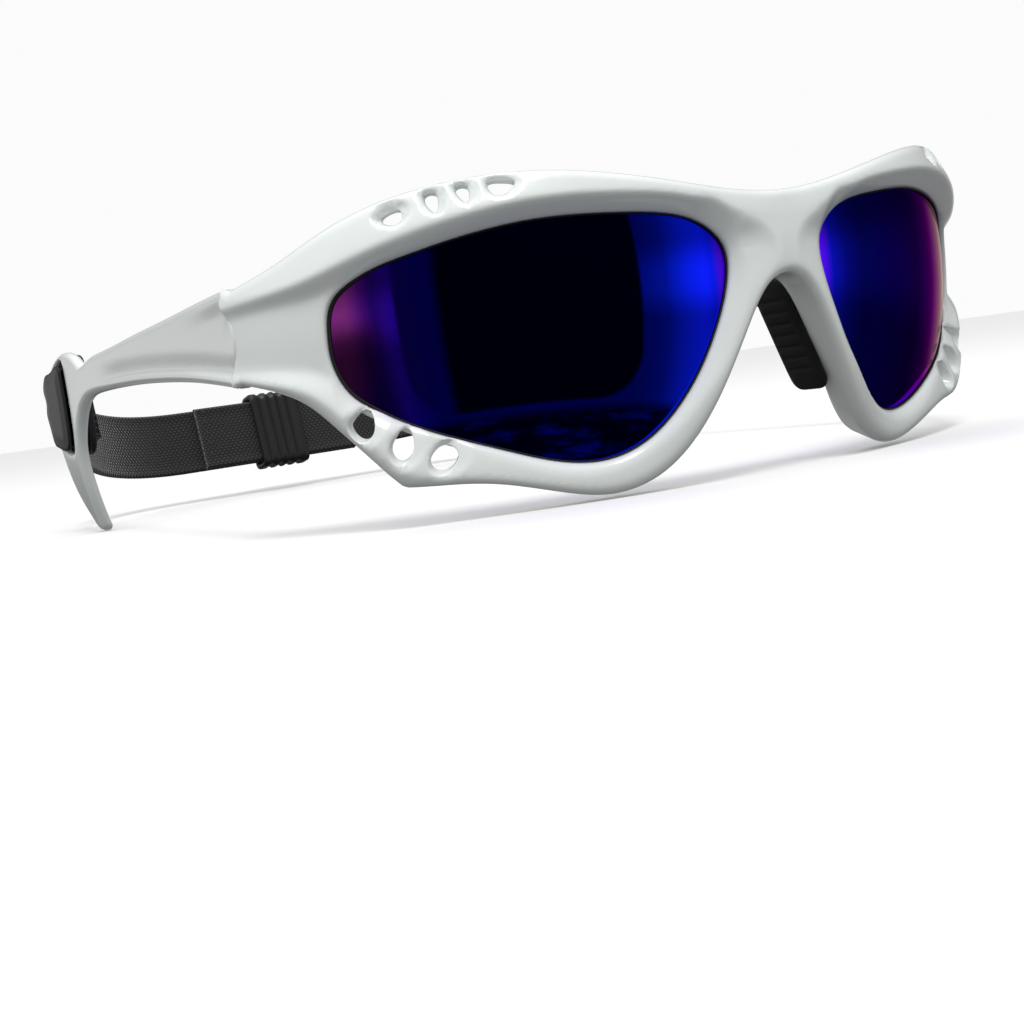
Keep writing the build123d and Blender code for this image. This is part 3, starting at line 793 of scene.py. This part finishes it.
# ---- head strap
# The straps lie in a plane that tips down towards the back: a is across, b to the back.
STRAP_START = np.array([60.6, 136.5, -4.6])
STRAP_ORIGIN = STRAP_START * (0, 1, 1)
STRAP_DROP = math.radians(12)
STRAIGHT_HALF, REAR_INNER, LAYER_PITCH, OVERLAP = 24.0, 52.0, 1.8, 20.0
STRAP_BACK = np.array([0, math.cos(STRAP_DROP), -math.sin(STRAP_DROP)])
STRAP_UP = np.array([0, math.sin(STRAP_DROP), math.cos(STRAP_DROP)])
WEB_STEP, WEB_HALF, WEB_THICK = 0.8, 7.4, 0.75
# Half of the webbing's section, as (across its width, half thickness there), with a rolled edge.
WEB_SECTION = [(1.0, 0.0), (0.985, 0.45), (0.95, 0.86), (0.91, 1.0), (0.87, 0.94), (0.83, 0.8),
               (0.6, 0.82), (0.3, 0.84), (0.0, 0.85)]


def strap_path(rear):
    """The left strap's middle line, as (a, b): a quarter ellipse and a straight end."""
    turn = np.linspace(0, math.pi / 2, 200)
    wide = STRAP_START[0] - STRAIGHT_HALF
    curve = np.column_stack([STRAIGHT_HALF + wide * np.cos(turn), rear * np.sin(turn)])
    line = np.vstack([curve, [(-OVERLAP, rear)]])
    run = run_of(line)
    at = np.linspace(0, run[-1], int(run[-1] / WEB_STEP))
    return at, read(at, run, line)


def in_strap_plane(rows):
    """Directions in space from (a, b) ones."""
    return rows[:, :1] * np.array([1.0, 0, 0]) + rows[:, 1:] * STRAP_BACK


def strap_frame(rear):
    """Middle points of the left strap in space and its outward directions, with the run along it."""
    at, line = strap_path(rear)
    along = unit(np.gradient(line, axis=0))
    out = np.column_stack([along[:, 1], -along[:, 0]])
    return at, STRAP_ORIGIN + in_strap_plane(line), in_strap_plane(out)


def webbing(rear):
    """The left strap as a swept section; also its run and width at each point, for the weave."""
    at, middle, out = strap_frame(rear)
    half = np.array(WEB_SECTION)
    side = np.vstack([half, half[-2::-1] * (-1, 1)])
    section = np.vstack([side, side[-2:0:-1] * (1, -1)])
    w, t = section[:, 0] * WEB_HALF, section[:, 1] * WEB_THICK
    size = len(section)
    cloud = (middle[:, None] + out[:, None] * t[None, :, None] + STRAP_UP * w[None, :, None]).reshape(-1, 3)
    faces = []
    for i in range(len(at) - 1):
        for k in range(size):
            j = (k + 1) % size
            faces.append((i * size + k, i * size + j, (i + 1) * size + j, (i + 1) * size + k))
    last = (len(at) - 1) * size
    for k in range(len(side) - 1):
        end = list(dict.fromkeys([k, k + 1, (size - k - 1) % size, (size - k) % size]))
        faces.append(tuple(end))
        faces.append(tuple(last + v for v in reversed(end)))
    weave = np.column_stack([np.repeat(at, size), np.tile(w, len(at))])
    return cloud, faces, weave


def set_weave(piece, weave):
    """Carries the run and width along as a UV map, in metres."""
    layer = piece.data.uv_layers.new(name="weave")
    index = np.empty(len(piece.data.loops), int)
    piece.data.loops.foreach_get("vertex_index", index)
    layer.data.foreach_set("uv", (weave[index] * MM).astype(np.float32).ravel())


STITCH_LENGTH, STITCH_WIDE, STITCH_PITCH = 1.5, 0.42, 2.0
STITCH_RINGS, STITCH_SIDES = 7, 8
# The boxed seam at the anchor, as (start, end, half width), and three short rows at the free end.
BOX_SEAM, BAR_ROWS, BAR_HALF, BAR_INSET = (2.5, 12.5, 5.2), (-5.2, 0, 5.2), 2.4, 2


def stitch_line(start, end):
    """Middles and directions of the stitches from start to end."""
    start, way = np.array(start, float), np.array(end, float) - np.array(start, float)
    length = np.linalg.norm(way)
    count = max(1, int(round(length / STITCH_PITCH)))
    return [(start + way * (k + 0.5) / count, way / length) for k in range(count)]


def box_stitch(low, high, half):
    corners = [(low, -half), (high, -half), (high, half), (low, half)]
    lines = [(corners[k], corners[(k + 1) % 4]) for k in range(4)]
    lines += [(corners[0], corners[2]), (corners[1], corners[3])]
    return [s for a, b in lines for s in stitch_line(a, b)]


def stitches(rear, places):
    """Thread on both faces of the left strap: each stitch a small spindle sunk into the webbing."""
    at, middle, out = strap_frame(rear)
    cloud, faces = [], []
    turns = 2 * math.pi * np.arange(STITCH_SIDES) / STITCH_SIDES
    for (s, w), (ds, dw) in places:
        for face in (1, -1):
            normal = read(s, at, out)[0] * face
            along = np.cross(STRAP_UP, normal) * -face
            way = along * ds + STRAP_UP * dw
            cross = np.cross(normal, way)
            centre = read(s, at, middle)[0] + STRAP_UP * w + normal * (WEB_THICK * 0.83)
            base = len(cloud)
            for t in np.linspace(-1, 1, STITCH_RINGS):
                r = STITCH_WIDE / 2 * math.sqrt(max(0.02, 1 - abs(t) ** 3))
                for a in turns:
                    round_it = cross * r * math.cos(a) + normal * r * math.sin(a) * 0.8
                    cloud.append(centre + way * t * STITCH_LENGTH / 2 + round_it)
            rings = base + np.arange(STITCH_RINGS * STITCH_SIDES).reshape(STITCH_RINGS, STITCH_SIDES)
            for first, second in zip(rings.tolist(), rings[1:].tolist()):
                for m in range(STITCH_SIDES):
                    n = (m + 1) % STITCH_SIDES
                    faces.append((first[m], first[n], second[n], second[m]))
            faces += [tuple(rings[0, ::-1].tolist()), tuple(rings[-1].tolist())]
    return np.array(cloud), faces


straps, threads = [], []
for side, sign, rear in (("left", 1, REAR_INNER), ("right", -1, REAR_INNER + LAYER_PITCH)):
    cloud, faces, weave = webbing(rear)
    end = weave[-1, 0] - BAR_INSET
    sewn = box_stitch(*BOX_SEAM)
    for w in BAR_ROWS:
        sewn += stitch_line((end, w - BAR_HALF), (end, w + BAR_HALF))
    shapes = [(cloud, faces), stitches(rear, sewn)]
    if side == "right":
        shapes = [twin(*shape) for shape in shapes]
    strap = mesh_object(f"strap_webbing_{side}", *shapes[0])
    set_weave(strap, weave)
    thread = mesh_object(f"strap_stitching_{side}", *shapes[1])
    for piece in (strap, thread):
        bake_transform(piece)
    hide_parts(f"strap_{side}")
    straps.append(strap)
    threads.append(thread)


# ---- strap slider
SLIDER_HALF, SLIDER_WALL, SLIDER_PLAY, STRAP_HALF = 6.0, 1.2, 0.3, 7.5
SLIDER_MIDDLE = REAR_INNER + LAYER_PITCH / 2


def on_strap_plane(q, height):
    """Points over (b, width), height across."""
    return STRAP_ORIGIN + q[:, :1] * STRAP_BACK + q[:, 1:] * STRAP_UP + height[:, None] * (1.0, 0, 0)


deep = LAYER_PITCH / 2 + WEB_THICK + SLIDER_PLAY
wide = STRAP_HALF + SLIDER_PLAY
mouth = rounded_box((SLIDER_MIDDLE - deep, -wide), (SLIDER_MIDDLE + deep, wide), 0.5, 0.5)[::-1]
sleeve = rounded_box((SLIDER_MIDDLE - deep - SLIDER_WALL, -wide - SLIDER_WALL),
                     (SLIDER_MIDDLE + deep + SLIDER_WALL, wide + SLIDER_WALL), 1.7, 0.5)
# Ribs round the sleeve, as (how far they are sunk, place along it).
GRIP_RIBS = [(0.0, 5.3), (0.0, 4.3), (0.35, 3.9), (0.35, 3.1), (0.0, 2.7), (0.0, 1.9), (0.35, 1.5),
             (0.35, 0.6), (0.0, 0.3)]
GRIP_RIBS += [(inset, -place) for inset, place in reversed(GRIP_RIBS)]
sleeve_edges = [(with_radius(sleeve, 0.45), True, GRIP_RIBS), (with_radius(mouth, 0.45), True, None)]
cloud, faces = plate(sleeve_edges, 0.5, on_strap_plane, flat(SLIDER_HALF), flat(-SLIDER_HALF))
slider = mesh_object("strap_slider_sleeve", cloud, faces)
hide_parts("strap_slider")
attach(slider, "slider")


# ---- materials
def material(name):
    made = bpy.data.materials.new(name)
    made.use_nodes = True
    tree = made.node_tree
    return made, tree, tree.nodes["Principled BSDF"]


def wear(pieces, made):
    for piece in pieces:
        piece.data.materials.clear()
        piece.data.materials.append(made)


def node(tree, kind, **values):
    """A node, with settings by attribute name and inputs by socket name (spaces as underscores)."""
    made = tree.nodes.new(kind)
    for key, value in values.items():
        label = key.replace("_", " ")
        if label in made.inputs:
            made.inputs[label].default_value = value
        else:
            setattr(made, key, value)
    return made


def bump(tree, shader, height, strength, distance):
    made = node(tree, "ShaderNodeBump", Strength=strength, Distance=distance)
    tree.links.new(height, made.inputs["Height"])
    tree.links.new(made.outputs[0], shader.inputs["Normal"])


def value(tree, operation, *given):
    """The output of a Math node; its inputs are sockets or numbers."""
    made = node(tree, "ShaderNodeMath", operation=operation)
    for socket, source in zip(made.inputs, given):
        if isinstance(source, (int, float)):
            socket.default_value = source
        else:
            tree.links.new(source, socket)
    return made.outputs[0]


def rise(tree, x, low, high):
    """0 below low, 1 above high, smooth between; low may be the larger."""
    made = node(tree, "ShaderNodeMapRange", interpolation_type="SMOOTHSTEP")
    tree.links.new(x, made.inputs["Value"])
    ends = (low, high, 0, 1) if low < high else (high, low, 1, 0)
    for name, end in zip(("From Min", "From Max", "To Min", "To Max"), ends):
        made.inputs[name].default_value = end
    return made.outputs["Result"]


def parts(tree, vector):
    """The x, y and z of a vector."""
    split = node(tree, "ShaderNodeSeparateXYZ")
    tree.links.new(vector, split.inputs[0])
    return split.outputs


def noise(tree, scale, detail=2.0, roughness=0.5, stretch=(1, 1, 1), source="Object"):
    place = node(tree, "ShaderNodeTexCoord")
    mapping = node(tree, "ShaderNodeMapping", Scale=stretch)
    tree.links.new(place.outputs[source], mapping.inputs["Vector"])
    made = node(tree, "ShaderNodeTexNoise", Scale=scale, Detail=detail, Roughness=roughness)
    tree.links.new(mapping.outputs[0], made.inputs["Vector"])
    return made.outputs["Fac"]


def ramp(tree, factor, stops):
    """Colours or grey levels at stops along a factor."""
    made = node(tree, "ShaderNodeValToRGB")
    tree.links.new(factor, made.inputs[0])
    while len(made.color_ramp.elements) < len(stops):
        made.color_ramp.elements.new(0.5)
    for element, (spot, colour) in zip(made.color_ramp.elements, stops):
        element.position = spot
        element.color = (*colour, 1) if isinstance(colour, tuple) else (colour, colour, colour, 1)
    return made.outputs[0]


def mottled(tree, shader, pattern, dark, light):
    """A base colour between two tones, by a pattern."""
    made = node(tree, "ShaderNodeMix", data_type="RGBA")
    tree.links.new(pattern, made.inputs[0])
    made.inputs[6].default_value, made.inputs[7].default_value = (*dark, 1), (*light, 1)
    tree.links.new(made.outputs[2], shader.inputs["Base Color"])


def varied_gloss(tree, shader, pattern, spread, least):
    """A roughness that a pattern varies."""
    tree.links.new(value(tree, "MULTIPLY_ADD", pattern, spread, least), shader.inputs["Roughness"])


def white_plastic():
    """Glossy moulded plastic: a faint cloudiness, a fine orange-peel skin and a clear surface gloss."""
    made, tree, shader = material("frame_white_plastic")
    mottled(tree, shader, noise(tree, 90, 4, 0.6), (0.77, 0.815, 0.795), (0.81, 0.85, 0.835))
    varied_gloss(tree, shader, noise(tree, 2600, 2, 0.5), 0.08, 0.2)
    shader.inputs["IOR"].default_value = 1.5
    shader.inputs["Coat Weight"].default_value = 0.6
    shader.inputs["Coat Roughness"].default_value = 0.05
    bump(tree, shader, noise(tree, 700, 3, 0.5), 0.05, 0.00012)
    return made


def blue_mirror():
    """Mirror coating, blue by the nose; its violet to magenta towards the temple is a painted reflection
    tint, placed by distance from the midline to stand for the change of colour with viewing angle; violet at
    a glance.
    """
    made, tree, shader = material("lens_mirror_blue")
    x, y, z = parts(tree, node(tree, "ShaderNodeTexCoord").outputs["Object"])
    # Ten times the distance from the midline in metres, a little wavy.
    across = value(tree, "MULTIPLY", value(tree, "ABSOLUTE", x), 10.0)
    waver = value(tree, "MULTIPLY_ADD", noise(tree, 45, 2), 0.05, -0.025)
    spread = value(tree, "ADD", across, waver)
    # Painted reflection tint: hue and darkening by distance from the midline stand for the coating's shift
    # with viewing angle.
    painted_view_tint = ramp(tree, spread, [
        (0.095, (0.10, 0.004, 1.0)), (0.112, (0.004, 0.012, 1.0)), (0.20, (0.002, 0.02, 1.0)),
        (0.36, (0.003, 0.01, 0.92)), (0.50, (0.006, 0.004, 0.78)),
        (0.54, (0.045, 0.004, 0.65)), (0.56, (0.08, 0.008, 0.6)), (0.572, (0.19, 0.015, 0.5)),
        (0.59, (0.42, 0.05, 0.42)),
    ])
    tree.links.new(painted_view_tint, shader.inputs["Base Color"])
    shader.inputs["Metallic"].default_value = 1.0
    shader.inputs["Specular Tint"].default_value = (0.9, 0.3, 0.3, 1)
    varied_gloss(tree, shader, noise(tree, 1800, 3, 0.6), 0.03, 0.02)
    bump(tree, shader, noise(tree, 260, 2), 0.02, 0.00004)
    return made


def soft_black(name, colour, roughness, grain, depth):
    """Matt moulded rubber or plastic with a fine grained skin."""
    made, tree, shader = material(name)
    mottled(tree, shader, noise(tree, 320, 4, 0.6), tuple(c * 0.7 for c in colour), colour)
    fine = noise(tree, grain, 3, 0.6)
    varied_gloss(tree, shader, fine, 0.16, roughness - 0.08)
    bump(tree, shader, fine, 0.35, depth)
    return made


PICK_PITCH, END_PITCH = 0.0011, 0.0013


def black_webbing():
    """Woven tape: ribs across it and paired warp threads along it, read from its run and width."""
    made, tree, shader = material("strap_black_webbing")
    run, width, none = parts(tree, node(tree, "ShaderNodeUVMap", uv_map="weave").outputs[0])
    calc = partial(value, tree)
    pick = calc("MULTIPLY", run, 2 * math.pi / PICK_PITCH)
    end = calc("MULTIPLY", width, 2 * math.pi / END_PITCH)
    slant = calc("ADD", pick, calc("MULTIPLY", calc("SIGN", calc("SINE", end)), math.pi / 2))
    over = calc("MULTIPLY_ADD", calc("SINE", slant), 0.5, 0.5)
    weave = calc("MULTIPLY", over, calc("POWER", calc("ABSOLUTE", calc("SINE", end)), 0.5))
    fibre = noise(tree, 5200, 2, 0.7)
    height = value(tree, "MULTIPLY_ADD", fibre, 0.25, weave)
    # Painted shade: the colour is darker in the weave's low spots, where threads pass under and between the
    # warp ends.
    mottled(tree, shader, weave, (0.008, 0.008, 0.009), (0.034, 0.034, 0.037))
    varied_gloss(tree, shader, fibre, 0.2, 0.62)
    shader.inputs["Sheen Weight"].default_value = 0.35
    shader.inputs["Sheen Roughness"].default_value = 0.4
    bump(tree, shader, height, 0.9, 0.00022)
    return made


def twisted_thread():
    made, tree, shader = material("strap_thread")
    ply = noise(tree, 2500, 2, 0.6, (1, 1, 3))
    mottled(tree, shader, ply, (0.012, 0.012, 0.013), (0.06, 0.06, 0.065))
    shader.inputs["Roughness"].default_value = 0.5
    bump(tree, shader, ply, 0.5, 0.0001)
    return made


def brushed_steel():
    made, tree, shader = material("screw_steel")
    fine = noise(tree, 1500, 3, 0.6, (1, 1, 12))
    mottled(tree, shader, fine, (0.46, 0.46, 0.47), (0.66, 0.66, 0.66))
    shader.inputs["Metallic"].default_value = 1.0
    varied_gloss(tree, shader, fine, 0.2, 0.2)
    bump(tree, shader, fine, 0.2, 0.00004)
    return made


wear([front_shell] + temples + hinges, white_plastic())
wear(lenses, blue_mirror())
# The painted shadow rings at the lens openings wear the pads' black rubber.
wear(pads + lens_shadow_rings, soft_black("pad_black_rubber", (0.016, 0.016, 0.017), 0.6, 3200, 0.00005))
wear(anchors + [slider], soft_black("anchor_black_plastic", (0.018, 0.018, 0.02), 0.4, 2200, 0.00004))
wear(straps, black_webbing())
wear(threads, twisted_thread())
wear([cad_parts["hinge_screw_left"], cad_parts["hinge_screw_right"]], brushed_steel())


# ---- stage and light
FLOOR_SIZE, FLOOR_SIDES, FLOOR_LEVEL = 6.0, 48, -0.0002


def make_floor():
    mesh = bpy.data.meshes.new("floor")
    turns = [2 * math.pi * i / FLOOR_SIDES for i in range(FLOOR_SIDES)]
    ring = [(FLOOR_SIZE * math.cos(a), FLOOR_SIZE * math.sin(a), FLOOR_LEVEL) for a in turns]
    mesh.from_pydata(ring, [], [tuple(range(FLOOR_SIDES))])
    floor = in_scene("floor", mesh)
    paper, tree, shader = material("floor_paper")
    shader.inputs["Base Color"].default_value = (0.88, 0.88, 0.88, 1)
    shader.inputs["Roughness"].default_value = 0.9
    wear([floor], paper)
    floor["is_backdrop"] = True
    floor.visible_glossy = False
    floor.visible_diffuse = False


# What the mirror lenses see, in degrees: turn from -Y towards +X, and lift above the level.
# Round the room, as (turn, brightness); it is darker from the level band up and down.
ROOM = [(-180, 0.80), (-95, 0.60), (-76, 0.44), (-68, 0.38), (-62, 0.18), (-58, 0.30), (-55, 0.24),
        (-50, 0.14), (8, 0.14), (12, 0.18), (17, 0.27), (24, 0.75), (29, 1.00), (33, 0.65), (38, 0.30),
        (43, 0.45), (48, 0.90), (52, 0.40), (57, 0.17), (64, 0.08), (95, 0.06), (104, 0.15), (114, 0.45),
        (135, 0.70), (180, 0.80)]
LEVEL, LEVEL_EDGE, FURNITURE_TOP, CORNER_TURN, CORNER_LIFT = -0.5, (1, 10), (-29, -33), (-58, -66), (2, -6)
# The doorway: middle, half width and foot before its round corners, the corners' edge, top and jamb.
DOOR_MIDDLE, DOOR_HALF, DOOR_FOOT, DOOR_EDGE = -23.0, 21.0, -17.0, (12.6, 11.4)
DOOR_TOP, DOOR_JAMB = (52, 38), (-43, -47)
CEILING = (35, 65)


def make_world():
    """A pale studio: brighter above, with a dark doorway and a bright window for the lenses to mirror."""
    world = bpy.data.worlds.new("studio")
    bpy.context.scene.world = world
    world.use_nodes = True
    tree = world.node_tree
    calc, between = partial(value, tree), partial(rise, tree)
    times, minus, linear = (partial(calc, kind) for kind in ("MULTIPLY", "SUBTRACT", "MULTIPLY_ADD"))
    x, y, z = parts(tree, node(tree, "ShaderNodeTexCoord").outputs["Generated"])
    turn = times(calc("ARCTAN2", x, times(y, -1.0)), 180 / math.pi)
    lift = times(calc("ARCSINE", z), 180 / math.pi)

    stops = [((a + 180) / 360, bright) for a, bright in ROOM]
    room = ramp(tree, linear(turn, 1 / 360, 0.5), stops)
    off_level = calc("ABSOLUTE", minus(lift, LEVEL))
    level = linear(between(off_level, *LEVEL_EDGE), -0.6, 1.0)
    clutter = between(noise(tree, 5.0, 5, 0.65, (1, 1, 4.5), "Generated"), 0.50, 0.68)
    furniture = times(between(lift, *FURNITURE_TOP), linear(clutter, -0.5, 0.37))
    seen = times(room, minus(level, furniture))
    corner = times(between(turn, *CORNER_TURN), between(lift, *CORNER_LIFT))
    seen = times(seen, linear(corner, -0.75, 1.0))

    side = minus(calc("ABSOLUTE", minus(turn, DOOR_MIDDLE)), DOOR_HALF)
    foot = minus(DOOR_FOOT, lift)
    squares = [calc("POWER", calc("MAXIMUM", far, 0.0), 2.0) for far in (side, foot)]
    away = calc("SQRT", calc("ADD", *squares))
    doorway = times(between(away, *DOOR_EDGE), between(lift, *DOOR_TOP))
    jamb = linear(between(turn, *DOOR_JAMB), 0.045, 0.003)
    wall = times(seen, minus(1.0, doorway))
    seen = calc("ADD", wall, times(jamb, doorway))
    seen = calc("ADD", seen, times(between(lift, *CEILING), 0.7))

    # Mirror rays see the room, other rays an even studio, and the camera plain paper.
    soft = linear(between(z, -0.35, 0.9), 0.88, 0.25)
    rays = node(tree, "ShaderNodeLightPath").outputs
    others = minus(1.0, rays["Is Glossy Ray"])
    strength = calc("ADD", times(seen, rays["Is Glossy Ray"]), times(soft, others))
    strength = calc("MAXIMUM", strength, times(rays["Is Camera Ray"], 0.97))
    tree.links.new(strength, tree.nodes["Background"].inputs["Strength"])
    tree.nodes["Background"].inputs["Color"].default_value = (1, 1, 1, 1)


LAMP_AIM = (0, 0, 0.03)


def area_light(name, spot, size, power, glossy=True):
    """A square lamp aimed at the part."""
    data = bpy.data.lights.new(name, "AREA")
    data.size = size
    data.energy = power
    lamp = in_scene(name, data)
    lamp.location = spot
    lamp.visible_glossy = glossy
    lamp.rotation_mode = "QUATERNION"
    lamp.rotation_quaternion = (Vector(LAMP_AIM) - Vector(spot)).to_track_quat("-Z", "Y")


make_floor()
make_world()
area_light("key", (-0.25, -0.5, 0.9), 0.3, 4.6)
area_light("fill", (-0.9, 0.2, 0.7), 0.6, 0.7)
area_light("front", (0.3, -1.0, -0.1), 0.5, 0.2, glossy=False)
bpy.context.scene.view_settings.view_transform = "Standard"

low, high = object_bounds()
